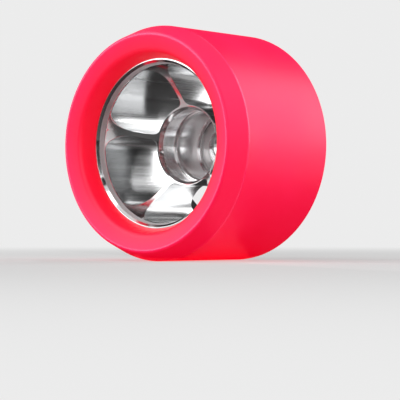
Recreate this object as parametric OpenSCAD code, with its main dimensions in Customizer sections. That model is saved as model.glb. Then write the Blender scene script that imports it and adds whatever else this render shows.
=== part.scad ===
// Quad roller skate wheel: a urethane tyre cast on a dished five-spoke hub, with a ball bearing
// in the rear seat and the front seat open for a second one.
// The wheel turns about the Y axis, its dished front faces -Y, and the origin is its centre.

/* [Tyre] */
// Outside diameter of the tread
tyre_d = 70; // [66:0.5:80]
// Width from the front crest to the rear face
tyre_w = 44; // [42:0.5:50]
// How far the front crest, the ring that stands furthest forward, lies inside the tread
crest_inset = 3.1; // [2:0.1:5]
// Rounding of the front crest
crest_round = 0.9; // [0.4:0.1:1.5]
// Slope of the shoulder between crest and tread, from the axle
shoulder_angle = 21; // [15:1:30]
// Slope of the dished front face, from the wheel's plane
dish_angle = 15; // [8:1:26]
// Width of the steep step between the dished face and the hub
step_w = 1.7; // [0.6:0.1:2.4]
// Rounding of the rear tread edge
rear_round = 1; // [0.4:0.1:2]

/* [Hub rim] */
// Outside diameter of the rim, which the tyre is cast on
rim_d = 50.8; // [48:0.2:54]
// Wall of the rim outside the pockets
rim_wall = 1.8; // [1.6:0.1:2.4]
// How far the rim's front edge lies behind the crest
rim_front = 6; // [5:0.5:8]
// How far the rim's rear edge lies inside the tyre's rear face
rim_rear = 0.8; // [0.4:0.1:2]
// Width of the bright lip on the rim's front edge
lip_w = 0.5; // [0.3:0.1:0.6]
// Width of the chamfer inside the lip
lip_chamfer_w = 0.7; // [0.4:0.1:0.8]
// Depth of the chamfer inside the lip
lip_chamfer_depth = 0.8; // [0.6:0.1:2]
// Depth of the turned band between the chamfer and the dish
band_depth = 1.7; // [0.5:0.1:3]
// Number of grooves round the rim that lock the tyre
bond_grooves = 3; // [1:1:5]
// Width of a lock groove
bond_groove_w = 4; // [2:0.5:6]
// Depth of a lock groove
bond_groove_depth = 0.6; // [0.3:0.1:0.9]

/* [Hub spokes] */
// Number of spokes
spoke_count = 5; // [4:1:7]
// Thickness of a spoke
spoke_t = 1.7; // [1.2:0.1:3]
// Angle of the first spoke from +X towards +Z
first_spoke_angle = 95.8; // [0:0.1:360]
// Pocket corner radius at the rim
pocket_rim_fillet = 4; // [1.5:0.1:4.5]
// Pocket corner radius at the bearing tube
pocket_tube_fillet = 2.2; // [1:0.1:3]
// How far the rear edge of the spokes lies behind the crest
spoke_rear = 32.1; // [29:0.1:34]

/* [Hub bearing tube] */
// Wall of the tube round the bearing seats
tube_wall = 1.2; // [1:0.1:1.6]
// Distance between the two bearing seats
seat_gap = 10; // [8:0.5:12]
// Height of the shoulder between the two bearing seats
shoulder_w = 0.8; // [0.5:0.1:1.5]
// Lead-in chamfer at the mouth of the rear seat
seat_chamfer = 0.4; // [0.2:0.1:0.6]
// Width of the lead-in chamfer at the mouth of the front seat
mouth_w = 0.7; // [0.3:0.1:0.8]
// Depth of the lead-in chamfer at the mouth of the front seat
mouth_depth = 1.3; // [0.4:0.1:2]
// Width of the relief groove at the end of a bearing seat
relief_w = 0.6; // [0.3:0.1:1]
// Depth of the relief groove
relief_depth = 0.3; // [0.1:0.1:0.5]

/* [Bearing] */
// Outside diameter of the bearing
bearing_d = 22; // [21:0.1:22.4]
// Width of the bearing
bearing_w = 7; // [6.8:0.1:8]
// Bore of the bearing, for the axle
axle_bore_d = 8; // [6:0.1:8.4]
// Number of balls
ball_count = 7; // [5:1:8]
// Diameter of a ball
ball_d = 3.969; // [3.5:0.001:4.1]
// Wall of each bearing ring beside its ball groove
ring_wall = 2; // [1.8:0.1:2.2]
// Chamfer on the corners of both bearing rings
race_chamfer = 0.3; // [0.1:0.05:0.4]
// Radial play of a ball in its grooves
ball_play = 0.08; // [0.02:0.01:0.1]

/* [Bearing cage and covers] */
// Sheet thickness of the cage
cage_sheet = 0.2; // [0.15:0.01:0.25]
// Width of the cage's band
cage_w = 1.2; // [0.8:0.1:1.6]
// Gap between a ball and its cage pocket
cage_gap = 0.05; // [0.02:0.01:0.1]
// Diameter of a cage rivet
rivet_d = 0.6; // [0.4:0.1:0.7]
// Diameter of a rivet head
rivet_head_d = 1; // [0.8:0.1:1.1]
// Height of a rivet head
rivet_head_h = 0.15; // [0.1:0.05:0.3]
// Gap between the cage and the covers
cage_clear = 0.2; // [0.15:0.01:0.3]
// Width of the shelf that a cover rests on
shelf_w = 0.6; // [0.4:0.1:0.7]
// Sheet thickness of the steel shield
shield_t = 0.25; // [0.2:0.01:0.3]
// Thickness of the rubber seal
seal_t = 0.4; // [0.3:0.01:0.45]
// Running gap between a cover and the inner ring
cover_gap = 0.3; // [0.2:0.05:0.5]
// Wire diameter of the snap ring
snap_wire_d = 0.45; // [0.3:0.01:0.5]
// Depth of the groove that holds the snap ring and the seal's bead
clip_groove_depth = 0.3; // [0.2:0.05:0.4]
// Opening of the snap ring, in degrees
snap_opening = 40; // [20:5:90]

/* [Hidden] */
$fn = 96;
arc_steps = 8;
bowl_steps = 12;
groove_steps = 24;
// Seating clearance between pieces of the bearing that are fitted together
seat_clear = 0.02;
// Step between the milled pockets and the turned faces beside them
mill_step = 0.2;
// Chamfer on the hub's rear edges
rear_chamfer = 0.5;
// Radial and axial size of the chamfer that leads from the front seat into the shoulder bore
shoulder_chamfer_w = 0.35;
shoulder_chamfer_depth = 1.2;
// Inner curl of the steel shield
shield_curl_w = 0.4;
shield_curl_h = 0.1;

// Heights along the axle, from the wheel's centre towards its front
front_h = tyre_w / 2;
rear_h = -tyre_w / 2;
rim_front_h = front_h - rim_front;
rim_rear_h = rear_h + rim_rear;
rear_seat_h = rear_h + bearing_w;
front_seat_h = rear_seat_h + seat_gap;
nose_h = front_seat_h + bearing_w;
bearing_h = rear_h + bearing_w / 2;

// Radii of the tyre and hub
tread_r = tyre_d / 2;
rim_r = rim_d / 2;
pocket_out_r = rim_r - rim_wall;
seat_r = bearing_d / 2;
shoulder_r = seat_r - shoulder_w;
relief_r = seat_r + relief_depth;
tube_r = seat_r + tube_wall;
mouth_r = seat_r + mouth_w;
band_out_r = rim_r - lip_w - lip_chamfer_w;
band_in_r = min(band_out_r, pocket_out_r + mill_step);
band_h = rim_front_h - lip_chamfer_depth - band_depth;

// Bowl of the hub's front, round about a point on the axle, from the mouth of the bore to the band
bowl_nose = [mouth_r, nose_h];
bowl_edge = [band_in_r, band_h];
bowl_h = (bowl_edge * bowl_edge - bowl_nose * bowl_nose) / (2 * (band_h - nose_h));
bowl_centre = [0, bowl_h];
bowl_r = norm(bowl_nose - bowl_centre);
bowl_from = atan2(nose_h - bowl_h, mouth_r);
bowl_to = atan2(band_h - bowl_h, band_in_r);

// Rear groove between tube and rim, with a full round bottom that ends the spokes
groove_in_r = tube_r + mill_step;
groove_out_r = pocket_out_r - mill_step;
groove_round = (groove_out_r - groove_in_r) / 2;
groove_centre = [groove_in_r + groove_round, front_h - spoke_rear - groove_round];

// Tyre corners: the crest's arc runs tangent into the dished face and into the shoulder
crest_centre = [tread_r - crest_inset, front_h - crest_round];
dish_top = crest_centre + crest_round * [cos(90 + dish_angle), sin(90 + dish_angle)];
shoulder_top = crest_centre + crest_round * [cos(shoulder_angle), sin(shoulder_angle)];
tread_front_h = shoulder_top[1] - (tread_r - shoulder_top[0]) / tan(shoulder_angle);
foot_r = rim_r + step_w;
foot_h = dish_top[1] - (dish_top[0] - foot_r) * tan(dish_angle);

// Radii and heights of the bearing, heights from its own middle
bore_r = axle_bore_d / 2;
inner_land_r = bore_r + ring_wall;
outer_land_r = seat_r - ring_wall;
ball_circle_r = (inner_land_r + outer_land_r) / 2;
ball_r = ball_d / 2;
ball_groove_r = ball_r + ball_play;
pocket_r = ball_r + cage_gap;
shelf_r = outer_land_r + shelf_w;
clip_r = shelf_r + clip_groove_depth;
half_w = bearing_w / 2;
shelf_h = pocket_r + cage_sheet + cage_clear;
clip_in_h = shelf_h + shield_t;
clip_out_h = clip_in_h + snap_wire_d;
cover_in_r = inner_land_r + cover_gap;

spoke_pitch = 360 / spoke_count;
ball_pitch = 360 / ball_count;

BALL_NODES = [for (i = [1:ball_count]) str("ball_", i)];
RING_NODES = ["tyre", "hub", "outer_race", "inner_race"];
CAGE_NODES = ["cage_front_half", "cage_rear_half", "cage_rivets"];
COVER_NODES = ["rubber_seal", "steel_shield", "snap_ring"];

function arc(centre, r, from, to, steps) =
    [for (i = [0:steps]) let (a = from + (to - from) * i / steps) centre + r * [cos(a), sin(a)]];

function reversed(list) = [for (i = [len(list) - 1:-1:0]) list[i]];

function upside_down(points) = [for (p = points) [p[0], -p[1]]];

function angle_of(v) = atan2(v[1], v[0]);

// Centre of a pocket corner that touches the spoke along +X and lies reach_r from the axle
function corner_centre(reach_r, fillet) =
    let (side = spoke_t / 2 + fillet) [sqrt(reach_r * reach_r - side * side), side];

// Mirrors points beside the spoke along +X to the next spoke's side of the same pocket
function across_pocket(points) = [
    for (p = reversed(points))
        let (c = cos(spoke_pitch), s = sin(spoke_pitch)) [p[0] * c + p[1] * s, p[0] * s - p[1] * c]
];

// Half of a pocket's outline: along the tube, up the spoke's side and along the rim
tube_corner = corner_centre(tube_r + pocket_tube_fillet, pocket_tube_fillet);
rim_corner = corner_centre(pocket_out_r - pocket_rim_fillet, pocket_rim_fillet);
half_pocket = concat(
    arc([0, 0], tube_r, spoke_pitch / 2, angle_of(tube_corner), arc_steps),
    arc(tube_corner, pocket_tube_fillet, 180 + angle_of(tube_corner), 270, arc_steps),
    arc(rim_corner, pocket_rim_fillet, -90, angle_of(rim_corner), arc_steps),
    arc([0, 0], pocket_out_r, angle_of(rim_corner), spoke_pitch / 2, arc_steps)
);

// One lock groove, from front to rear
function bond_groove(middle) = [
    [rim_r, middle + bond_groove_w / 2],
    [rim_r - bond_groove_depth, middle + bond_groove_w / 2 - bond_groove_depth],
    [rim_r - bond_groove_depth, middle - bond_groove_w / 2 + bond_groove_depth],
    [rim_r, middle - bond_groove_w / 2]
];

// Outside of the rim from front to rear, which is also the inside of the tyre
bond_pitch = (rim_front_h - rim_rear_h) / bond_grooves;
bond_line = concat(
    [[rim_r, rim_front_h]],
    [for (i = [0:bond_grooves - 1]) each bond_groove(rim_front_h - bond_pitch * (i + 0.5))],
    [[rim_r, rim_rear_h]]
);

tyre_outline = concat(
    [[foot_r, foot_h]],
    arc(crest_centre, crest_round, 90 + dish_angle, shoulder_angle, arc_steps),
    [[tread_r, tread_front_h]],
    arc([tread_r - rear_round, rear_h + rear_round], rear_round, 0, -90, arc_steps),
    [[rim_r + rim_rear, rear_h]],
    reversed(bond_line)
);

// Rear of the hub, from the rim's rear edge over the groove to the tube's rear mouth
hub_rear_line = concat(
    [[groove_out_r + rear_chamfer, rim_rear_h]],
    [[groove_out_r, rim_rear_h + rear_chamfer]],
    arc(groove_centre, groove_round, 0, 180, groove_steps),
    [[groove_in_r, rear_h + rear_chamfer]],
    [[groove_in_r - rear_chamfer, rear_h]]
);

// Stepped bore of the tube, from the rear mouth to the front lead-in
hub_bore_line = [
    [seat_r + seat_chamfer, rear_h],
    [seat_r, rear_h + seat_chamfer],
    [seat_r, rear_seat_h - relief_w],
    [relief_r, rear_seat_h - relief_w],
    [relief_r, rear_seat_h],
    [shoulder_r, rear_seat_h],
    [shoulder_r, front_seat_h - shoulder_chamfer_depth],
    [shoulder_r + shoulder_chamfer_w, front_seat_h],
    [relief_r, front_seat_h],
    [relief_r, front_seat_h + relief_w],
    [seat_r, front_seat_h + relief_w],
    [seat_r, nose_h - mouth_depth]
];

// Front of the hub, from the bore's mouth up the spokes' front edges to the lip of the rim
hub_front_line = concat(
    arc(bowl_centre, bowl_r, bowl_from, bowl_to, bowl_steps),
    [[band_out_r, rim_front_h - lip_chamfer_depth]],
    [[rim_r - lip_w, rim_front_h]]
);

// Places a shape that is turned round Z so that it turns round the wheel's axle
module on_axle() {
    rotate([90, 0, 0])
        children();
}

module turned(points) {
    on_axle()
        rotate_extrude()
            polygon(points);
}

// Places a shape that is turned round Z at the middle of the bearing
module in_bearing() {
    on_axle()
        translate([0, 0, bearing_h])
            children();
}

module each_ball() {
    for (i = [0:ball_count - 1])
        rotate([0, 0, i * ball_pitch])
            translate([ball_circle_r, 0, 0])
                children();
}

module each_rivet() {
    for (i = [0:ball_count - 1])
        rotate([0, 0, (i + 0.5) * ball_pitch])
            translate([ball_circle_r, 0, 0])
                children();
}

module tyre() {
    color([0.96, 0.1, 0.27])
        turned(tyre_outline);
}

// Outline of the pocket between the spoke along +X and the next one
module pocket_outline() {
    polygon(concat(half_pocket, across_pocket(half_pocket)));
}

module hub() {
    color([0.8, 0.8, 0.82])
        difference() {
            turned(concat(bond_line, hub_rear_line, hub_bore_line, hub_front_line));
            on_axle()
                for (i = [0:spoke_count - 1])
                    rotate([0, 0, first_spoke_angle + i * spoke_pitch])
                        linear_extrude(height = 2 * tyre_w, center = true)
                            pocket_outline();
        }
}

// Shelf and clip groove on one side of the outer ring, from the land to the side face
function cover_seat() = [
    [outer_land_r, shelf_h],
    [shelf_r, shelf_h],
    [shelf_r, clip_in_h],
    [clip_r, clip_in_h],
    [clip_r, clip_out_h],
    [shelf_r, clip_out_h],
    [shelf_r, half_w]
];

module outer_race() {
    color([0.62, 0.63, 0.65])
        in_bearing()
            rotate_extrude()
                difference() {
                    polygon(concat(
                        cover_seat(),
                        [[seat_r - race_chamfer, half_w]],
                        [[seat_r, half_w - race_chamfer]],
                        [[seat_r, race_chamfer - half_w]],
                        [[seat_r - race_chamfer, -half_w]],
                        upside_down(reversed(cover_seat()))
                    ));
                    translate([ball_circle_r, 0])
                        circle(ball_groove_r);
                }
}

module inner_race() {
    color([0.62, 0.63, 0.65])
        in_bearing()
            rotate_extrude()
                difference() {
                    polygon([
                        [bore_r, race_chamfer - half_w],
                        [bore_r, half_w - race_chamfer],
                        [bore_r + race_chamfer, half_w],
                        [inner_land_r, half_w],
                        [inner_land_r, -half_w],
                        [bore_r + race_chamfer, -half_w]
                    ]);
                    translate([ball_circle_r, 0])
                        circle(ball_groove_r);
                }
}

module ball(number) {
    color([0.85, 0.86, 0.88])
        in_bearing()
            rotate([0, 0, (number - 1) * ball_pitch])
                translate([ball_circle_r, 0, 0])
                    sphere(d = ball_d);
}

// One pressed half of the cage, on the +Z side of the ball circle
module cage_half() {
    difference() {
        intersection() {
            union() {
                cylinder(h = cage_sheet, r = outer_land_r);
                each_ball()
                    sphere(r = pocket_r + cage_sheet);
            }
            difference() {
                cylinder(h = half_w, r = ball_circle_r + cage_w / 2);
                translate([0, 0, -half_w])
                    cylinder(h = bearing_w + half_w, r = ball_circle_r - cage_w / 2);
            }
        }
        each_ball()
            sphere(r = pocket_r);
        each_rivet()
            cylinder(h = bearing_w, d = rivet_d + 2 * seat_clear, center = true);
    }
}

module cage_front_half() {
    color([0.75, 0.72, 0.66])
        in_bearing()
            cage_half();
}

module cage_rear_half() {
    color([0.75, 0.72, 0.66])
        in_bearing()
            mirror([0, 0, 1])
                cage_half();
}

module cage_rivets() {
    color([0.7, 0.68, 0.64])
        in_bearing()
            each_rivet() {
                cylinder(h = 2 * cage_sheet + rivet_head_h, d = rivet_d, center = true);
                for (side = [-1, 1])
                    translate([0, 0, side * (cage_sheet + rivet_head_h / 2)])
                        cylinder(h = rivet_head_h, d = rivet_head_d, center = true);
            }
}

// Rubber seal on the outboard side, clipped by its bead into the outer ring
module rubber_seal() {
    rim_edge_r = shelf_r - seat_clear;
    bead_r = clip_r - seat_clear;
    color([0.07, 0.07, 0.08])
        in_bearing()
            rotate_extrude()
                polygon(upside_down([
                    [cover_in_r, shelf_h],
                    [rim_edge_r, shelf_h],
                    [rim_edge_r, clip_in_h + seat_clear],
                    [bead_r, clip_in_h + seat_clear],
                    [bead_r, clip_out_h - seat_clear],
                    [rim_edge_r, clip_out_h - seat_clear],
                    [rim_edge_r - shelf_w, shelf_h + seal_t],
                    [cover_in_r + shelf_w, shelf_h + seal_t],
                    [cover_in_r, shelf_h + seal_t / 2]
                ]));
}

// Steel shield on the inboard side, curled at its inner edge
module steel_shield() {
    color([0.7, 0.71, 0.72])
        in_bearing()
            rotate_extrude()
                polygon([
                    [cover_in_r, shelf_h],
                    [shelf_r - seat_clear, shelf_h],
                    [shelf_r - seat_clear, shelf_h + shield_t],
                    [cover_in_r + shield_curl_w, shelf_h + shield_t],
                    [cover_in_r + shield_curl_w / 2, shelf_h + shield_t + shield_curl_h],
                    [cover_in_r, shelf_h + shield_t + shield_curl_h]
                ]);
}

// Split wire ring in the clip groove, open at the top
module snap_ring() {
    wire_r = snap_wire_d / 2;
    color([0.6, 0.61, 0.63])
        in_bearing()
            translate([0, 0, clip_in_h + wire_r])
                rotate([0, 0, 90 + snap_opening / 2])
                    rotate_extrude(angle = 360 - snap_opening)
                        translate([clip_r - seat_clear - wire_r, 0])
                            circle(wire_r, $fn = 24);
}

tyre();
hub();
outer_race();
inner_race();
for (i = [1:ball_count])
    ball(i);
cage_front_half();
cage_rear_half();
cage_rivets();
rubber_seal();
steel_shield();
snap_ring();
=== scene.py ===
"""A quad roller skate wheel: neon urethane tyre, machined aluminium hub and a ball bearing."""
import math

import bpy
from mathutils import Euler, Matrix, Vector


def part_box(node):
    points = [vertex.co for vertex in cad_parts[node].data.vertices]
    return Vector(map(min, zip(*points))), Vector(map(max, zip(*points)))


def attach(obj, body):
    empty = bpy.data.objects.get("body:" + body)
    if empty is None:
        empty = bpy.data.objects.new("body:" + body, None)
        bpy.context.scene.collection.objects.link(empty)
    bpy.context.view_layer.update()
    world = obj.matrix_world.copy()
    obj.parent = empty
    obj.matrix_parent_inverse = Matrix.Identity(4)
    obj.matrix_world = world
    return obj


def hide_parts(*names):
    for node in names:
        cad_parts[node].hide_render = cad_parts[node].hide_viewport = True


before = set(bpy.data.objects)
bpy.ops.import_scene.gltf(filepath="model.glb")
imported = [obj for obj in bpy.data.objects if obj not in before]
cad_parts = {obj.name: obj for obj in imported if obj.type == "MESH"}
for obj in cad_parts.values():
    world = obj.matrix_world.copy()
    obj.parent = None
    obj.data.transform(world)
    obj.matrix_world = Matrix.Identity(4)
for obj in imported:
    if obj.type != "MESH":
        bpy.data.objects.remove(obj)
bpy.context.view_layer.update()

# Hub
# One piece of bright aluminium, turned from bar with a deep dish in front and a round groove behind.
# Five pockets are milled through it, which leaves thin spokes between the bearing tube and the rim.
mm = 0.001
crest_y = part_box("tyre")[0].y
rim_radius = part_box("hub")[1].x / mm
rim_front = (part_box("hub")[0].y - crest_y) / mm
hub_rear = (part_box("hub")[1].y - crest_y) / mm
rim_inset = 0.8
rim_rear = hub_rear - rim_inset
lip_width = 0.5
lip_chamfer = Vector((0.7, 0.8))
lip_radius = rim_radius - lip_width
lip_foot = lip_radius - lip_chamfer.x
dish_radius = 23.8
dish_front = 8.5

seat_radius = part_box("outer_race")[1].x / mm
seat_width = 7.0
seat_chamfer = 0.4
mouth = Vector((0.7, 1.3))
mouth_land = 0.1
mouth_radius = seat_radius + mouth.x
bored_reach = seat_radius + 0.1
relief_width = 0.6
relief_depth = 0.3
relief_round = 0.05
relief_radius = seat_radius + relief_depth
shoulder_width = 0.8
shoulder_length = 10.0
shoulder_radius = seat_radius - shoulder_width
shoulder_chamfer = Vector((0.35, 1.2))
rear_seat = hub_rear - seat_width
front_seat = rear_seat - shoulder_length
nose_depth = front_seat - seat_width
rear_chamfer = 0.5
rear_edge_round = 0.15

spoke_count = 5
spoke_pitch = math.tau / spoke_count
first_spoke = math.radians(95.8)
spoke_thickness = 1.7
tube_wall = 1.2
rim_wall = 1.8
pocket_tube = seat_radius + tube_wall
pocket_rim = rim_radius - rim_wall
tube_fillet = 2.2
rim_fillet = 4.0
groove_bottom = 32.1
edge_round = 0.13
edge_turns = (math.pi / 4, math.pi / 2)
bond_depth = 0.6
bond_width = 4.0
bond_count = 3
pocket_steps = {"tube": 16, "tube_corner": 12, "side": 6, "rim_corner": 16, "rim": 14}
face_steps = 6


def polar(radius, angle):
    """Point on the wheel's face, at an angle round the axle from +X towards +Z."""
    return Vector((radius * math.cos(angle), radius * math.sin(angle)))


def corner_centre(reach, fillet):
    """Centre of a pocket corner that touches the spoke along +X and lies reach from the axle."""
    side = spoke_thickness / 2 + fillet
    return Vector((math.sqrt(reach * reach - side * side), side))


tube_corner = corner_centre(pocket_tube + tube_fillet, tube_fillet)
rim_corner = corner_centre(pocket_rim - rim_fillet, rim_fillet)
tube_angle = math.atan2(tube_corner.y, tube_corner.x)
rim_angle = math.atan2(rim_corner.y, rim_corner.x)


def between(start, end, share):
    """Value at a share of the way from start to end."""
    return start + (end - start) * share


def pocket_edge(zone, share):
    """Point on half a pocket's edge beside the spoke along +X, and the direction into the metal."""
    if zone == "tube":
        angle = between(spoke_pitch / 2, tube_angle, share)
        return polar(pocket_tube, angle), -polar(1, angle)
    if zone == "tube_corner":
        angle = between(math.pi + tube_angle, 1.5 * math.pi, share)
        return tube_corner + polar(tube_fillet, angle), polar(1, angle)
    if zone == "side":
        along = between(tube_corner.x, rim_corner.x, share)
        return Vector((along, spoke_thickness / 2)), Vector((0, -1))
    if zone == "rim_corner":
        angle = between(-math.pi / 2, rim_angle, share)
        return rim_corner + polar(rim_fillet, angle), polar(1, angle)
    angle = between(rim_angle, spoke_pitch / 2, share)
    return polar(pocket_rim, angle), polar(1, angle)


def round_to_spoke(share, angle, circle, along):
    """Runs round a circle to the spoke's middle line, then along that line."""
    if share < 0.5:
        return polar(circle, angle * (1 - 2 * share))
    return Vector((between(circle, along, 2 * share - 1), 0))


def sheet_edge(zone, share, inner, outer):
    """Point across from a pocket's edge, on the inner or outer circle or the spoke's middle line."""
    if zone == "tube":
        return polar(inner, between(spoke_pitch / 2, tube_angle, share))
    if zone == "tube_corner":
        return round_to_spoke(share, tube_angle, inner, tube_corner.x)
    if zone == "side":
        return Vector((between(tube_corner.x, rim_corner.x, share), 0))
    if zone == "rim_corner":
        return round_to_spoke(1 - share, rim_angle, outer, rim_corner.x)
    return polar(outer, between(rim_angle, spoke_pitch / 2, share))


bowl_span = dish_radius ** 2 + dish_front ** 2 - mouth_radius ** 2 - nose_depth ** 2
bowl_middle = bowl_span / (2 * (dish_front - nose_depth))
bowl_radius = math.hypot(mouth_radius, nose_depth - bowl_middle)


def front_depth(radius):
    """Depth of the hub's front, a bowl that is round about a point on the axle."""
    return bowl_middle + math.sqrt(bowl_radius ** 2 - radius ** 2)


groove_round = (pocket_rim - pocket_tube) / 2
groove_middle = (pocket_rim + pocket_tube) / 2
groove_start = groove_bottom + groove_round


def groove_depth(radius):
    """Depth of the round groove behind the spokes."""
    return groove_start - math.sqrt(max(0, groove_round ** 2 - (radius - groove_middle) ** 2))


front_start = mouth_radius + mouth_land


def pocket_rows(zone, share):
    """Points from the spoke's front over the pocket's wall to the spoke's rear, each with its depth."""
    point, into = pocket_edge(zone, share)
    rows = []

    start = sheet_edge(zone, share, front_start, dish_radius)
    for step in range(face_steps + 1):
        place = start.lerp(point + into * edge_round, step / face_steps)
        rows.append((place, front_depth(place.length)))
    for turn in edge_turns:
        place = point + into * edge_round * (1 - math.sin(turn))
        rows.append((place, front_depth(place.length) + edge_round * (1 - math.cos(turn))))

    rear_edge = edge_round * abs(into.cross(point.normalized()))
    for turn in reversed(edge_turns):
        place = point + into * rear_edge * (1 - math.sin(turn))
        rows.append((place, groove_depth(place.length) - rear_edge * (1 - math.cos(turn))))
    end = sheet_edge(zone, share, pocket_tube, pocket_rim)
    for step in range(face_steps + 1):
        place = (point + into * rear_edge).lerp(end, step / face_steps)
        rows.append((place, groove_depth(place.length)))
    return rows


def across_pocket(point):
    """Mirrors a point beside one spoke to the next spoke's side of the pocket."""
    return polar(point.length, spoke_pitch - math.atan2(point.y, point.x))


def on_wheel(point, depth):
    """Place in metres of a point on the wheel's face, at a depth behind the tyre's crest."""
    return Vector((point.x * mm, crest_y + depth * mm, point.y * mm))


def rounded(corners, segments=4):
    """Outline through corners of radius, depth and rounding, with an arc at each rounded corner."""
    outline = []
    for index, (radius, depth, rounding) in enumerate(corners):
        corner = Vector((radius, depth))
        if not rounding:
            outline.append(corner)
            continue
        back = (Vector(corners[index - 1][:2]) - corner).normalized()
        ahead = (Vector(corners[(index + 1) % len(corners)][:2]) - corner).normalized()
        half = back.angle(ahead) / 2
        centre = corner + (back + ahead).normalized() * rounding / math.sin(half)
        start = corner + back * rounding / math.tan(half) - centre
        end = corner + ahead * rounding / math.tan(half) - centre
        sweep = start.angle(end)
        for step in range(segments + 1):
            share = step / segments
            arm = start * math.sin((1 - share) * sweep) + end * math.sin(share * sweep)
            outline.append(centre + arm / math.sin(sweep))
    return outline


def bond_corners():
    """Corners of the lock grooves between rim and tyre, from front to rear."""
    pitch = (rim_rear - rim_front) / bond_count
    corners = []
    for groove in range(bond_count):
        start = rim_front + pitch * (groove + 0.5) - bond_width / 2
        end = start + bond_width
        corners.append((rim_radius, start, 0))
        corners.append((rim_radius - bond_depth, start + bond_depth, 0))
        corners.append((rim_radius - bond_depth, end - bond_depth, 0))
        corners.append((rim_radius, end, 0))
    return corners


weld_distance = 0.001


def extrude_circle(piece, outline):
    """Extrudes the open circle that lies at the outline's start along the outline, round the axle."""
    bpy.ops.object.mode_set(mode="EDIT")
    bpy.ops.mesh.select_mode(type="EDGE")
    bpy.ops.mesh.select_all(action="DESELECT")
    bpy.ops.mesh.select_non_manifold(extend=False, use_wire=False, use_multi_face=False,
                                     use_non_contiguous=False, use_verts=False)
    bpy.ops.object.mode_set(mode="OBJECT")
    corners = piece.data.vertices
    for edge in piece.data.edges:
        radii = [math.hypot(corners[i].co.x, corners[i].co.z) / mm for i in edge.vertices]
        edge.select = edge.select and all(abs(r - outline[0].x) < weld_distance for r in radii)
    for vertex in corners:
        vertex.select = False
    for edge in piece.data.edges:
        if edge.select:
            for i in edge.vertices:
                corners[i].select = True
    bpy.ops.object.mode_set(mode="EDIT")
    for here, ahead in zip(outline, outline[1:]):
        bpy.ops.mesh.extrude_edges_indiv()
        widen = ahead.x / here.x
        bpy.ops.transform.resize(value=(widen, 0, widen),
                                 center_override=(0, crest_y + ahead.y * mm, 0))
    bpy.ops.object.mode_set(mode="OBJECT")


def close_seams():
    """Merges the seams of the piece in edit mode and turns its faces outwards."""
    bpy.ops.object.mode_set(mode="EDIT")
    bpy.ops.mesh.select_all(action="SELECT")
    bpy.ops.mesh.remove_doubles(threshold=weld_distance * mm)
    bpy.ops.mesh.normals_make_consistent(inside=False)
    bpy.ops.object.mode_set(mode="OBJECT")


smooth_angle = math.radians(32)


def shade_edges_round(piece):
    """Smooth shading in which the small roundings bend the light and the large faces stay true."""
    bpy.ops.object.shade_smooth_by_angle(angle=smooth_angle)
    bpy.ops.object.modifier_add(type="WEIGHTED_NORMAL")
    weighted = piece.modifiers[-1]
    weighted.keep_sharp = True
    bpy.ops.object.modifier_apply(modifier=weighted.name)


def put(tree, kind, inputs=None, **settings):
    """New node with its settings and the values of its unlinked inputs."""
    node = tree.nodes.new("ShaderNode" + kind)
    for name, value in settings.items():
        setattr(node, name, value)
    for name, value in (inputs or {}).items():
        node.inputs[name].default_value = value
    return node


def link(tree, links):
    """Links that each name a node and its output, then the node and the input that it feeds."""
    for source, output, target, socket in links:
        tree.links.new(source.outputs[output], target.inputs[socket])


def shader(name, **values):
    """New material, with its tree and its Principled shader."""
    material = bpy.data.materials.new(name)
    material.use_nodes = True
    principled = material.node_tree.nodes["Principled BSDF"]
    for socket, value in values.items():
        principled.inputs[socket.replace("_", " ")].default_value = value
    return material, material.node_tree, principled


def group_tree(name, inputs, outputs):
    """New shader node group, with its input and output nodes."""
    tree = bpy.data.node_groups.new(name, "ShaderNodeTree")
    for socket, kind in inputs.items():
        tree.interface.new_socket(socket, in_out="INPUT", socket_type="NodeSocket" + kind)
    for socket, kind in outputs.items():
        tree.interface.new_socket(socket, in_out="OUTPUT", socket_type="NodeSocket" + kind)
    return tree, tree.nodes.new("NodeGroupInput"), tree.nodes.new("NodeGroupOutput")


def round_the_axle():
    """Group that turns a place into radius and depth, for patterns in rings round the axle."""
    tree, entry, leave = group_tree("round_the_axle", {"Place": "Vector"}, {"Ring place": "Vector"})
    flat = put(tree, "VectorMath", {1: (1, 0, 1)}, operation="MULTIPLY")
    radius = put(tree, "VectorMath", operation="LENGTH")
    apart = put(tree, "SeparateXYZ")
    ring = put(tree, "CombineXYZ")
    link(tree, [
        (entry, "Place", flat, 0),
        (flat, "Vector", radius, 0),
        (entry, "Place", apart, "Vector"),
        (radius, "Value", ring, "X"),
        (apart, "Y", ring, "Y"),
        (ring, "Vector", leave, "Ring place"),
    ])
    return tree


def tool_marks():
    """Group for the fine lines that a cutting tool leaves: their height, and how dull the metal is."""
    inputs = {"Place": "Vector", "Spacing": "Float", "Bright": "Float", "Dull": "Float"}
    tree, entry, leave = group_tree("tool_marks", inputs, {"Height": "Float", "Roughness": "Float"})
    per_metre = put(tree, "Math", {0: 1.0}, operation="DIVIDE")
    scaled = put(tree, "VectorMath", operation="SCALE")
    fine = put(tree, "TexNoise", {"Scale": 1.0, "Detail": 3.0, "Roughness": 0.6})
    broad = put(tree, "TexNoise", {"Scale": 0.13, "Detail": 2.0, "Roughness": 0.5})
    mixed = put(tree, "Math", operation="MULTIPLY")
    spread = put(tree, "MapRange", {"From Min": 0.15, "From Max": 0.4})
    link(tree, [
        (entry, "Spacing", per_metre, 1),
        (entry, "Place", scaled, 0),
        (per_metre, "Value", scaled, "Scale"),
        (scaled, "Vector", fine, "Vector"),
        (scaled, "Vector", broad, "Vector"),
        (fine, "Fac", mixed, 0),
        (broad, "Fac", mixed, 1),
        (mixed, "Value", spread, "Value"),
        (entry, "Bright", spread, "To Min"),
        (entry, "Dull", spread, "To Max"),
        (fine, "Fac", leave, "Height"),
        (spread, "Result", leave, "Roughness"),
    ])
    return tree


ring_place_tree = round_the_axle()
tool_marks_tree = tool_marks()
stroke_stretch = 0.012


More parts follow.
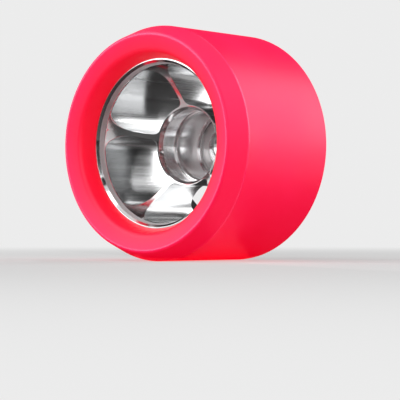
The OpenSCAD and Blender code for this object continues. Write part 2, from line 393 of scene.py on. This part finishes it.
def cut_metal(name, colour, spacing, bright, dull, marks_height, along_axle=False):
    """Bare metal with tool marks in rings round the axle, or along the axle where a mill cut it."""
    material, tree, principled = shader(name, Base_Color=colour, Metallic=1.0, Anisotropic=0.9,
                                        Anisotropic_Rotation=0.0 if along_axle else 0.25)
    round_axle = put(tree, "Tangent", direction_type="RADIAL", axis="Y")
    place = put(tree, "TexCoord")
    if along_axle:
        laid_out = put(tree, "Mapping", {"Scale": (1, stroke_stretch, 1)})
    else:
        laid_out = put(tree, "Group", node_tree=ring_place_tree)
    marks = put(tree, "Group", node_tree=tool_marks_tree)
    marks.inputs["Spacing"].default_value = spacing * mm
    marks.inputs["Bright"].default_value = bright
    marks.inputs["Dull"].default_value = dull
    bump = put(tree, "Bump", {"Strength": 1.0, "Distance": marks_height * mm})
    link(tree, [
        (round_axle, "Tangent", principled, "Tangent"),
        (place, "Object", laid_out, 0),
        (laid_out, 0, marks, "Place"),
        (marks, "Roughness", principled, "Roughness"),
        (marks, "Height", bump, "Height"),
        (bump, "Normal", principled, "Normal"),
    ])
    return material


columns = 2 * sum(pocket_steps.values())
stations = [(zone, step / steps) for zone, steps in pocket_steps.items() for step in range(steps)]
stations.append(("rim", 1.0))
half_pocket = [pocket_rows(zone, share) for zone, share in stations]
row_count = len(half_pocket[0])
wall_row = face_steps + len(edge_turns)

bpy.ops.object.select_all(action="DESELECT")
bpy.ops.mesh.primitive_grid_add(x_subdivisions=columns, y_subdivisions=row_count - 1)
hub = bpy.context.object
hub.name = "machined_hub"
turn_to_spoke = Matrix.Rotation(first_spoke, 2)
for index, vertex in enumerate(hub.data.vertices):
    row, column = divmod(index, columns + 1)
    far_side = column > columns // 2
    point, depth = half_pocket[columns - column if far_side else column][row]
    vertex.co = on_wheel(turn_to_spoke @ (across_pocket(point) if far_side else point), depth)

# Most of the hub is turned bright, the pockets' walls keep the lines of the mill and are painted darker
# as painted shade, the bore has a finer cut and is painted paler as painted light, and the band inside
# the lip is satin.
hub_finishes = [
    cut_metal("turned_aluminium", (0.72, 0.725, 0.73, 1), spacing=0.15,
              bright=0.07, dull=0.15, marks_height=0.0012),
    # The pockets' walls are painted darker than the turned metal, as painted shade.
    cut_metal("milled_aluminium_painted_shade", (0.63, 0.635, 0.64, 1), spacing=0.45,
              bright=0.17, dull=0.3, marks_height=0.02, along_axle=True),
    # The bore's metal is painted paler than the turned metal, as painted light in the bore.
    cut_metal("bored_aluminium_painted_light", (0.92, 0.925, 0.93, 1), spacing=0.15,
              bright=0.17, dull=0.24, marks_height=0.0006),
    cut_metal("satin_aluminium", (0.76, 0.765, 0.77, 1), spacing=0.15,
              bright=0.32, dull=0.42, marks_height=0.0006),
]
turned, milled_painted_shade, bored_painted_light, satin = range(len(hub_finishes))
for finish in hub_finishes:
    hub.data.materials.append(finish)
for face in hub.data.polygons:
    face.material_index = milled_painted_shade if face.index // columns == wall_row else turned

bpy.ops.object.mode_set(mode="EDIT")
bpy.ops.mesh.select_all(action="SELECT")
bpy.ops.mesh.spin(steps=spoke_count - 1, dupli=True, angle=spoke_pitch * (spoke_count - 1),
                  center=(0, 0, 0), axis=(0, 1, 0))
close_seams()

bore_corners = [
    (front_start, front_depth(front_start), 0),
    (mouth_radius, nose_depth, 0.06),
    (seat_radius, nose_depth + mouth.y, 0.2),
    (seat_radius, front_seat - relief_width, relief_round),
    (relief_radius, front_seat - relief_width, relief_round),
    (relief_radius, front_seat, relief_round),
    (shoulder_radius + shoulder_chamfer.x, front_seat, 0.1),
    (shoulder_radius, front_seat + shoulder_chamfer.y, 0.2),
    (shoulder_radius, rear_seat, 0.1),
    (relief_radius, rear_seat, relief_round),
    (relief_radius, rear_seat + relief_width, relief_round),
    (seat_radius, rear_seat + relief_width, relief_round),
    (seat_radius, hub_rear - seat_chamfer, 0.1),
    (seat_radius + seat_chamfer, hub_rear, 0.08),
    (pocket_tube - rear_chamfer, hub_rear, rear_edge_round),
    (pocket_tube, hub_rear - rear_chamfer, rear_edge_round),
    (pocket_tube, groove_start, 0),
]
extrude_circle(hub, rounded(bore_corners))
rim_corners = [
    (dish_radius, dish_front, 0),
    (lip_foot, rim_front + lip_chamfer.y, 0.1),
    (lip_radius, rim_front, 0.08),
    (rim_radius, rim_front, 0.12),
    *bond_corners(),
    (rim_radius, rim_rear, 0.1),
    (pocket_rim + rear_chamfer, rim_rear, rear_edge_round),
    (pocket_rim, rim_rear - rear_chamfer, rear_edge_round),
    (pocket_rim, groove_start, 0),
]
extrude_circle(hub, rounded(rim_corners))
close_seams()
for face in hub.data.polygons:
    reach = math.hypot(face.center.x, face.center.z) / mm
    if reach < bored_reach:
        face.material_index = bored_painted_light
    elif dish_radius < reach < lip_foot:
        face.material_index = satin
shade_edges_round(hub)
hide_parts("hub")
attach(hub, "wheel")

# Tyre
# Cast round the hub from neon pink-red urethane, which locks into the grooves of the rim.
# Its front is dished, its shoulder is bevelled, and its tread runs square to the rear face.
tread_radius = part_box("tyre")[1].x / mm
tyre_rear = (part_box("tyre")[1].y - crest_y) / mm
crest_round = 0.9
crest_inset = 3.1
crest_centre = Vector((tread_radius - crest_inset, crest_round))
crest_steps = 12
shoulder_angle = math.radians(21)
dish_angle = math.radians(15)
foot_width = 1.7
foot_radius = rim_radius + foot_width
foot_round = 2.2
foot_steps = 8
tread_edge_round = 0.5
rear_round = 1.0
seam_round = 0.2
edge_steps = 6
turn_steps = 240
# Reach of the tyre's glossier edges and their painted highlight, from the full mark to none.
edge_highlight_core = 0.1
edge_highlight_reach = 0.45
# Painted shade in the recess by the hub starts at recess_radius and fades out by open_radius for the
# glow, and towards the crest for the colour.
recess_radius = 25.6
open_radius = 28.6


def arc(centre, radius, start, end, steps):
    """Points of an arc, with its angles measured from outwards towards the front."""
    angles = [between(start, end, step / steps) for step in range(steps + 1)]
    return [centre + Vector((radius * math.cos(a), -radius * math.sin(a))) for a in angles]


def turned_piece(name, outline):
    """Traces a closed outline of radius and depth beside the axle and spins it round the axle."""
    bpy.ops.object.select_all(action="DESELECT")
    bpy.ops.mesh.primitive_circle_add(vertices=len(outline))
    piece = bpy.context.object
    piece.name = name
    for vertex, point in zip(piece.data.vertices, outline):
        vertex.co = on_wheel(Vector((point.x, 0)), point.y)
    bpy.ops.object.mode_set(mode="EDIT")
    bpy.ops.mesh.select_all(action="SELECT")
    bpy.ops.mesh.spin(steps=turn_steps, angle=math.tau, center=(0, 0, 0), axis=(0, 1, 0))
    close_seams()
    shade_edges_round(piece)
    return piece


def glossy_edges_painted_highlight():
    """Group that finds the tyre's two sharp front edges, the crest and the front of the tread, where
    the urethane is glossier and carries a painted highlight.
    """
    tree, entry, leave = group_tree("glossy_edges_painted_highlight", {"Place": "Vector"}, {"Edge": "Float"})
    ring = put(tree, "Group", node_tree=ring_place_tree)
    link(tree, [(entry, "Place", ring, "Place")])
    found = put(tree, "Math", operation="MAXIMUM")
    for index, corner in enumerate((Vector((crest_centre.x, 0)), Vector((tread_radius, tread_front)))):
        edge = (corner.x * mm, crest_y + corner.y * mm, 0)
        apart = put(tree, "VectorMath", {1: edge}, operation="DISTANCE")
        near = put(tree, "MapRange", {"From Min": edge_highlight_reach * mm, "From Max": edge_highlight_core * mm})
        link(tree, [
            (ring, "Ring place", apart, 0),
            (apart, "Value", near, "Value"),
            (near, "Result", found, index),
        ])
    link(tree, [(found, "Value", leave, "Edge")])
    return tree


def ramp(tree, first, last, start=0.0, end=1.0):
    """New colour ramp from one colour to another."""
    node = put(tree, "ValToRGB")
    for element, position, colour in zip(node.color_ramp.elements, (start, end), (first, last)):
        element.position = position
        element.color = colour
    return node


def cast_urethane():
    """Satin urethane in a fluorescent pink-red, a little cloudy, with a fine skin from the mould. Its
    red glow is partly the pigment's fluorescence and partly painted light that keeps the red full in
    shade. It carries painted shade near the hub and a painted highlight along its two front edges.
    """
    # The red emission is partly the pigment's fluorescence and partly painted light: a glow that keeps
    # the red full where the tyre is in shade.
    material, tree, principled = shader("cast_urethane", Emission_Strength=0.65, Specular_IOR_Level=0.8,
                                        Specular_Tint=(1.0, 0.7, 1.0, 1))
    place = put(tree, "TexCoord")
    clouds = put(tree, "TexNoise", {"Scale": 45.0, "Detail": 3.0, "Roughness": 0.5})
    tint = ramp(tree, (0.92, 0.003, 0.11, 1), (0.95, 0.006, 0.13, 1), 0.35, 0.65)
    glow = ramp(tree, (0.9, 0.0, 0.012, 1), (1.0, 0.0, 0.018, 1))
    # Painted shade: the red glow is darker in the recess by the hub.
    glow_painted_shade = put(tree, "MixRGB", {"Color1": (0.78, 0.0, 0.011, 1)})
    skin = put(tree, "TexNoise", {"Scale": 2600.0, "Detail": 2.0, "Roughness": 0.5})
    satin = put(tree, "MapRange", {"From Min": 0.3, "From Max": 0.7, "To Min": 0.43, "To Max": 0.51})
    edges = put(tree, "Group", node_tree=glossy_edges_painted_highlight())
    ring = put(tree, "Group", node_tree=ring_place_tree)
    radius = put(tree, "SeparateXYZ")
    open_face = put(tree, "MapRange", {"From Min": recess_radius * mm, "From Max": open_radius * mm})
    # Painted shade: the base colour turns a deeper red towards the hub, as shade in the recess.
    toward_crest = put(tree, "MapRange", {"From Min": recess_radius * mm,
                                          "From Max": crest_centre.x * mm})
    painted_recess_shade = put(tree, "MixRGB", {"Color1": (0.9, 0.002, 0.03, 1)})
    # Painted highlight: a paler pink line along the crest and the front of the tread.
    painted_edge_highlight = put(tree, "MixRGB", {"Color2": (0.95, 0.12, 0.4, 1)})
    share = put(tree, "Math", {1: 0.3}, operation="MULTIPLY")
    shine = put(tree, "MapRange", {"To Max": 0.14})
    bump = put(tree, "Bump", {"Strength": 0.5, "Distance": 0.01 * mm})
    link(tree, [
        (place, "Object", clouds, "Vector"),
        (place, "Object", skin, "Vector"),
        (clouds, "Fac", tint, "Fac"),
        (clouds, "Fac", glow, "Fac"),
        (place, "Object", edges, "Place"),
        (edges, "Edge", share, 0),
        (share, "Value", painted_edge_highlight, "Fac"),
        (place, "Object", ring, "Place"),
        (ring, "Ring place", radius, "Vector"),
        (radius, "X", open_face, "Value"),
        (radius, "X", toward_crest, "Value"),
        (toward_crest, "Result", painted_recess_shade, "Fac"),
        (tint, "Color", painted_recess_shade, "Color2"),
        (painted_recess_shade, "Color", painted_edge_highlight, "Color1"),
        (painted_edge_highlight, "Color", principled, "Base Color"),
        (open_face, "Result", glow_painted_shade, "Fac"),
        (glow, "Color", glow_painted_shade, "Color2"),
        (glow_painted_shade, "Color", principled, "Emission Color"),
        (clouds, "Fac", satin, "Value"),
        (edges, "Edge", shine, "Value"),
        (satin, "Result", shine, "To Min"),
        (shine, "Result", principled, "Roughness"),
        (skin, "Fac", bump, "Height"),
        (bump, "Normal", principled, "Normal"),
    ])
    return material


crest = arc(crest_centre, crest_round, math.pi / 2 + dish_angle, shoulder_angle, crest_steps)
dish_top, shoulder_top = crest[0], crest[-1]
foot_depth = dish_top.y + (dish_top.x - foot_radius) * math.tan(dish_angle)
tread_front = shoulder_top.y + (tread_radius - shoulder_top.x) / math.tan(shoulder_angle)
tyre_front = rounded([
    (rim_radius, rim_front, 0),
    (foot_radius, foot_depth, foot_round),
    (dish_top.x, dish_top.y, 0),
], foot_steps)[:-1]
tyre_back = rounded([
    (shoulder_top.x, shoulder_top.y, 0),
    (tread_radius, tread_front, tread_edge_round),
    (tread_radius, tyre_rear, rear_round),
    (rim_radius + tyre_rear - rim_rear, tyre_rear, seam_round),
    (rim_radius, rim_rear, 0),
    *reversed(bond_corners()),
], edge_steps)[1:]
tyre = turned_piece("urethane_tyre", tyre_front + crest + tyre_back)
tyre.data.materials.append(cast_urethane())
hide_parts("tyre")
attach(tyre, "wheel")

# Bearing rings
# Two rings of hardened bearing steel, ground bright: the outer one is pressed into the hub's rear seat,
# and the inner one stands still on the axle. Seven balls run in the grooves between them.
bearing_half = seat_width / 2
bearing_middle = rear_seat + bearing_half
bore_radius = 4.0
ring_wall = 2.0
ring_round = 0.3
ball_radius = (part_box("ball_1")[1].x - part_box("ball_1")[0].x) / 2 / mm
groove_play = 0.08
inner_land = bore_radius + ring_wall
outer_land = seat_radius - ring_wall
ball_circle = (inner_land + outer_land) / 2
ball_groove = ball_radius + groove_play
track_steps = 12
shelf_inset = 1.0655
shelf_width = 0.6
shelf = bearing_half - shelf_inset
shelf_radius = outer_land + shelf_width
sheet_thickness = 0.25
clip_depth = 0.3
clip_width = 0.45
clip_radius = shelf_radius + clip_depth
clip_start = shelf + sheet_thickness
clip_end = clip_start + clip_width


def ball_track(land, outward):
    """Groove that the balls run in, across a ring's land, from front to rear."""
    reach = math.acos(abs(land - ball_circle) / ball_groove)
    middle = 0 if outward else math.pi
    sweep = reach if outward else -reach
    centre = Vector((ball_circle, bearing_middle))
    return arc(centre, ball_groove, middle + sweep, middle - sweep, track_steps)


def in_bearing(corners):
    """Shifts corners with depths from the bearing's middle to their depth on the wheel."""
    return [(radius, bearing_middle + depth, rounding) for radius, depth, rounding in corners]


def to_front(corners):
    """Corners of the bearing's rear side, mirrored to its front side."""
    return [(radius, -depth, rounding) for radius, depth, rounding in corners]


cover_side = [
    (outer_land, shelf, 0.05),
    (shelf_radius, shelf, 0),
    (shelf_radius, clip_start, 0),
    (clip_radius, clip_start, 0),
    (clip_radius, clip_end, 0),
    (shelf_radius, clip_end, 0.03),
    (shelf_radius, bearing_half, 0.08),
    (seat_radius, bearing_half, ring_round),
]
rear_corners = [(outer_land, 0, 0), *cover_side, (seat_radius, 0, 0)]
rear_side = rounded(in_bearing(rear_corners))[1:-1]
front_corners = [(seat_radius, 0, 0), *to_front(reversed(cover_side)), (outer_land, 0, 0)]
front_side = rounded(in_bearing(front_corners))[1:-1]
outer_ring = turned_piece("outer_ring", ball_track(outer_land, True) + rear_side + front_side)

inner_corners = [
    (inner_land, bearing_half, 0.1),
    (bore_radius, bearing_half, ring_round),
    (bore_radius, -bearing_half, ring_round),
    (inner_land, -bearing_half, 0.1),
]
inner_side = rounded(in_bearing([(inner_land, 0, 0), *inner_corners, (inner_land, 0, 0)]))[1:-1]
inner_ring = turned_piece("inner_ring", ball_track(inner_land, False) + inner_side)

ground_steel = cut_metal("ground_steel", (0.6, 0.605, 0.62, 1), spacing=0.18,
                         bright=0.14, dull=0.26, marks_height=0.002)
for ring, node, body in ((outer_ring, "outer_race", "wheel"), (inner_ring, "inner_race", "axle_ring")):
    ring.data.materials.append(ground_steel)
    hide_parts(node)
    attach(ring, body)

# Balls
# Seven hardened steel balls, lapped to a mirror finish, that roll between the two rings.
# A trace of clear oil on them changes the shine from place to place.


def lapped_steel():
    """Mirror-bright steel under a thin, uneven film of oil."""
    material, tree, principled = shader("lapped_steel", Base_Color=(0.72, 0.73, 0.75, 1), Metallic=1.0)
    place = put(tree, "TexCoord")
    oil = put(tree, "TexNoise", {"Scale": 900.0, "Detail": 3.0})
    shine = put(tree, "MapRange", {"From Min": 0.35, "From Max": 0.65, "To Min": 0.04, "To Max": 0.14})
    link(tree, [
        (place, "Object", oil, "Vector"),
        (oil, "Fac", shine, "Value"),
        (shine, "Result", principled, "Roughness"),
    ])
    return material


ball_finish = lapped_steel()
for node, cad_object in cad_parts.items():
    if node.startswith("ball_"):
        cad_object.data.materials.clear()
        cad_object.data.materials.append(ball_finish)

# Ball cage
# Two pressed halves of thin steel sheet that hold the balls apart, riveted between each pair of balls.
# The sheet is left as rolled, so it is duller and a little warmer than the rings.
rolled_shade = 0.85


def pressed_sheet(name, colour, bright, dull, dent_depth):
    """Pressed steel sheet, with fine cloudy rolling marks and slight dents."""
    material, tree, principled = shader(name, Metallic=1.0)
    place = put(tree, "TexCoord")
    rolling = put(tree, "TexNoise", {"Scale": 1500.0, "Detail": 4.0, "Roughness": 0.6})
    dents = put(tree, "TexNoise", {"Scale": 260.0, "Detail": 1.0})
    tone = ramp(tree, tuple(rolled_shade * c for c in colour[:3]) + (1,), colour)
    shine = put(tree, "MapRange", {"From Min": 0.3, "From Max": 0.7, "To Min": bright, "To Max": dull})
    bump = put(tree, "Bump", {"Strength": 0.6, "Distance": dent_depth * mm})
    link(tree, [
        (place, "Object", rolling, "Vector"),
        (place, "Object", dents, "Vector"),
        (rolling, "Fac", tone, "Fac"),
        (tone, "Color", principled, "Base Color"),
        (rolling, "Fac", shine, "Value"),
        (shine, "Result", principled, "Roughness"),
        (dents, "Fac", bump, "Height"),
        (bump, "Normal", principled, "Normal"),
    ])
    return material


cage_finish = pressed_sheet("pressed_cage_sheet", (0.6, 0.55, 0.47, 1),
                            bright=0.3, dull=0.5, dent_depth=0.01)
for node in ("cage_front_half", "cage_rear_half", "cage_rivets"):
    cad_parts[node].data.materials.clear()
    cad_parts[node].data.materials.append(cage_finish)

# Rubber seal
# Black nitrile rubber moulded on a thin washer, clipped by its bead into the outer ring's rear side.
# Two shallow moulded grooves run round its face.
cover_gap = 0.3
cover_play = 0.02
seal_inner = inner_land + cover_gap
seal_outer = shelf_radius - cover_play
seal_bead = clip_radius - cover_play
bead_front = clip_start + cover_play
bead_rear = clip_end - cover_play
seal_thickness = 0.4
seal_face = shelf + seal_thickness
moulded_depth = 0.1
moulded_width = 0.4
moulded_round = 0.05
seal_steps = 3


def moulded_groove(outer):
    """Corners of a shallow groove in the seal's face, from its outer edge inwards."""
    inner = outer - moulded_width
    bed = seal_face - moulded_depth
    return [
        (outer, seal_face, moulded_round),
        (outer - moulded_depth, bed, moulded_round),
        (inner + moulded_depth, bed, moulded_round),
        (inner, seal_face, moulded_round),
    ]


seal_corners = [
    (seal_inner, shelf, 0.04),
    (seal_outer, shelf, 0),
    (seal_outer, bead_front, 0),
    (seal_bead, bead_front, 0.05),
    (seal_bead, bead_rear, 0.08),
    (seal_outer - 0.1, bead_rear, 0.1),
    (seal_outer - 0.5, seal_face, 0.1),
    *moulded_groove(seal_outer - 0.9),
    *moulded_groove(seal_inner + 0.9),
    (seal_inner + 0.3, seal_face, 0.1),
    (seal_inner, seal_face - 0.2, 0.08),
]


def moulded_rubber():
    """Matt black rubber, with a fine grain and a bloom that pales it in patches."""
    material, tree, principled = shader("moulded_rubber", Specular_IOR_Level=0.4)
    place = put(tree, "TexCoord")
    grain = put(tree, "TexNoise", {"Scale": 5000.0, "Detail": 2.0})
    bloom = put(tree, "TexNoise", {"Scale": 400.0, "Detail": 3.0})
    tone = ramp(tree, (0.012, 0.012, 0.013, 1), (0.032, 0.032, 0.034, 1))
    matt = put(tree, "MapRange", {"To Min": 0.5, "To Max": 0.75})
    bump = put(tree, "Bump", {"Strength": 0.5, "Distance": 0.01 * mm})
    link(tree, [
        (place, "Object", grain, "Vector"),
        (place, "Object", bloom, "Vector"),
        (bloom, "Fac", tone, "Fac"),
        (tone, "Color", principled, "Base Color"),
        (bloom, "Fac", matt, "Value"),
        (matt, "Result", principled, "Roughness"),
        (grain, "Fac", bump, "Height"),
        (bump, "Normal", principled, "Normal"),
    ])
    return material


seal = turned_piece("rubber_seal_ring", rounded(in_bearing(seal_corners), seal_steps))
seal.data.materials.append(moulded_rubber())
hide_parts("rubber_seal")
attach(seal, "wheel")

# Steel shield
# A washer of thin plated steel, pressed to shape with its inner edge curled outwards.
# It rests on the shelf of the outer ring's front side and keeps dust out.
shield_inner = inner_land + cover_gap
shield_outer = shelf_radius - cover_play
shield_face = shelf + sheet_thickness
shield_curl = shield_face + 0.1
shield_dish = shield_face - 0.08
shield_corners = [
    (shield_inner, shelf, 0.05),
    (shield_outer, shelf, 0),
    (shield_outer, shield_face, 0.05),
    (outer_land - 0.1, shield_face, 0.1),
    (outer_land - 0.4, shield_dish, 0.1),
    (inner_land + 0.9, shield_dish, 0.1),
    (inner_land + 0.6, shield_curl, 0.08),
    (shield_inner, shield_curl, 0.08),
]
shield = turned_piece("pressed_shield", rounded(in_bearing(to_front(shield_corners))))
plated_sheet = pressed_sheet("plated_sheet", (0.88, 0.885, 0.89, 1),
                             bright=0.4, dull=0.55, dent_depth=0.002)
shield.data.materials.append(plated_sheet)
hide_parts("steel_shield")
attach(shield, "wheel")

# Snap ring
# Spring wire bent to an open ring, which snaps into the outer ring's groove and holds the shield.
# Its two ends stand apart so that a pick can lift it out.
wire_radius = clip_width / 2
wire_circle = clip_radius - cover_play - wire_radius
wire_depth = bearing_middle - clip_start - wire_radius
wire_sides = 16
snap_opening = math.radians(40)
bpy.ops.object.select_all(action="DESELECT")
bpy.ops.mesh.primitive_circle_add(vertices=wire_sides, radius=wire_radius * mm)
snap_ring = bpy.context.object
snap_ring.name = "wire_snap_ring"
start_arm = polar(1, math.pi / 2 + snap_opening / 2)
for index, vertex in enumerate(snap_ring.data.vertices):
    round_wire = polar(wire_radius, math.tau * index / wire_sides)
    vertex.co = on_wheel(start_arm * (wire_circle + round_wire.x), wire_depth + round_wire.y)
bpy.ops.object.mode_set(mode="EDIT")
bpy.ops.mesh.select_all(action="SELECT")
bpy.ops.mesh.edge_face_add()
bpy.ops.mesh.spin(steps=turn_steps // 2, angle=snap_opening - math.tau,
                  center=(0, 0, 0), axis=(0, 1, 0))
close_seams()
shade_edges_round(snap_ring)
snap_ring.data.materials.append(plated_sheet)
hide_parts("snap_ring")
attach(snap_ring, "wheel")

# Floor
# A wide pale studio table on which the wheel stands on its tread.
# Away from the wheel it fades into the pale background, for the camera and in reflections.
floor_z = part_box("tyre")[0].z
floor_radius = 8
pale = (0.8, 0.8, 0.8, 1)
dim = (0.25, 0.25, 0.25, 1)
background = (0.84, 0.84, 0.84, 1)
fade_start = 0.1
fade_end = 0.45
seen_lift = 0.5
bpy.ops.object.select_all(action="DESELECT")
bpy.ops.mesh.primitive_circle_add(vertices=96, radius=floor_radius, fill_type="NGON",
                                  location=(0, 0, floor_z))
floor = bpy.context.object
floor.name = "pale_table"
material, tree, principled = shader("pale_table", Roughness=0.6)
rays = put(tree, "LightPath")
tone = put(tree, "MixRGB", {"Color1": pale, "Color2": dim})
place = put(tree, "TexCoord")
far = put(tree, "VectorMath", operation="LENGTH")
fade = put(tree, "MapRange", {"From Min": fade_start, "From Max": fade_end},
           interpolation_type="SMOOTHSTEP")
lifted = put(tree, "MapRange", {"To Min": seen_lift})
seen = put(tree, "Math", operation="MULTIPLY")
mirrored = put(tree, "Math", operation="MULTIPLY")
faded = put(tree, "Math", operation="MAXIMUM")
glow = put(tree, "Emission", {"Color": background})
mixed = put(tree, "MixShader")
link(tree, [
    (rays, "Is Diffuse Ray", tone, "Fac"),
    (tone, "Color", principled, "Base Color"),
    (place, "Object", far, 0),
    (far, "Value", fade, "Value"),
    (fade, "Result", lifted, "Value"),
    (lifted, "Result", seen, 0),
    (rays, "Is Camera Ray", seen, 1),
    (fade, "Result", mirrored, 0),
    (rays, "Is Glossy Ray", mirrored, 1),
    (seen, "Value", faded, 0),
    (mirrored, "Value", faded, 1),
    (faded, "Value", mixed, "Fac"),
    (principled, "BSDF", mixed, 1),
    (glow, "Emission", mixed, 2),
    (mixed, "Shader", tree.nodes["Material Output"], "Surface"),
])
floor.data.materials.append(material)

# Light
# Soft studio light in a pale room, with softboxes at the rear right, the front left, above
# and over the camera. Black cards in front, behind and on the table show only in reflections,
# as the dark lines of bright metal.
ambient = 0.14
world = bpy.data.worlds.new("pale_room")
bpy.context.scene.world = world
world.use_nodes = True
tree = world.node_tree
shown = tree.nodes["Background"]
shown.inputs["Color"].default_value = background
lit = put(tree, "Background", {"Color": (1, 1, 1, 1), "Strength": ambient})
rays = put(tree, "LightPath")
seen = put(tree, "Math", operation="MAXIMUM")
seen_or_clear = put(tree, "Math", operation="MAXIMUM")
mixed = put(tree, "MixShader")
link(tree, [
    (rays, "Is Camera Ray", seen, 0),
    (rays, "Is Glossy Ray", seen, 1),
    (seen, "Value", seen_or_clear, 0),
    (rays, "Is Transmission Ray", seen_or_clear, 1),
    (seen_or_clear, "Value", mixed, "Fac"),
    (lit, "Background", mixed, 1),
    (shown, "Background", mixed, 2),
    (mixed, "Shader", tree.nodes["World Output"], "Surface"),
])


def softbox(name, place, size, power):
    """Rectangular softbox that faces the wheel."""
    lamp = bpy.data.lights.new(name, "AREA")
    lamp.shape = "RECTANGLE"
    lamp.size, lamp.size_y = size
    lamp.energy = power
    holder = bpy.data.objects.new(name, lamp)
    holder.location = place
    holder.rotation_euler = (-Vector(place)).to_track_quat("-Z", "Y").to_euler()
    holder.visible_camera = False
    bpy.context.scene.collection.objects.link(holder)


def toward(turn, rise, distance):
    """Place at a turn to the right of straight in front of the wheel, and a rise above the axle."""
    turn, rise = math.radians(turn), math.radians(rise)
    level = distance * math.cos(rise)
    return (level * math.sin(turn), -level * math.cos(turn), distance * math.sin(rise))


softbox("softbox_rear_right", toward(140, 26, 0.75), (0.53, 0.66), 2.5)
softbox("softbox_front_left", toward(-40, 30, 0.75), (0.56, 0.8), 2.5)
softbox("softbox_above", toward(5, 54, 0.8), (0.6, 0.36), 1.2)
softbox("softbox_over_camera", toward(37, 19, 0.75), (0.22, 0.44), 1.0)

card_black = shader("card_black", Base_Color=(0.04, 0.04, 0.04, 1), Roughness=0.8)[0]
card_lift = 0.001
card_foot = -3


def dark_card(name, corners):
    """Black card that only shows as a reflection."""
    bpy.ops.object.select_all(action="DESELECT")
    bpy.ops.mesh.primitive_plane_add()
    card = bpy.context.object
    card.name = name
    for vertex, corner in zip(card.data.vertices, corners):
        vertex.co = corner
    card.data.materials.append(card_black)
    card.visible_camera = False
    card.visible_diffuse = False
    card.visible_shadow = False


def on_table(left, right, near, far):
    """Corners of a card on the table, between two turns and two distances from the wheel."""
    places = [toward(turn, 0, distance) for distance in (near, far) for turn in (left, right)]
    return [(x, y, floor_z + card_lift) for x, y, z in places]


def upright(left, right, top, distance):
    """Corners of a card that stands between two turns, from the table up to a rise."""
    return [toward(turn, rise, distance) for rise in (card_foot, top) for turn in (left, right)]


dark_card("dark_card_low_front", on_table(-18, 60, 0.02, 1.05))
dark_card("dark_card_low_left", on_table(-70, -18, 0.02, 0.052))
dark_card("dark_card_low_right", on_table(95, 158, 0.02, 0.12))
dark_card("dark_card_low_behind", on_table(163, 235, 0.02, 0.95))
dark_card("dark_card_behind", upright(161, 235, 58, 0.95))
dark_card("dark_card_front", upright(-18, 60, 40, 1.05))

# Camera
# A long lens a little above the table, at the wheel's right front, tilted up by about a degree.
# The wheel stands in the upper half of the picture.
camera_place = Vector((332.8, -383.9, -25.7)) * mm
camera_turn = math.radians(40.636)
camera_rise = math.radians(1.026)
camera_data = bpy.data.cameras.new("camera")
camera_data.sensor_width = 36
camera_data.lens = 150.44
camera_data.clip_start = 0.01
camera = bpy.data.objects.new("camera", camera_data)
bpy.context.scene.collection.objects.link(camera)
aim = Euler((math.pi / 2 + camera_rise, 0, camera_turn)).to_matrix().to_4x4()
camera.matrix_world = Matrix.Translation(camera_place) @ aim
bpy.context.scene.camera = camera
bpy.context.scene.view_settings.view_transform = "Standard"
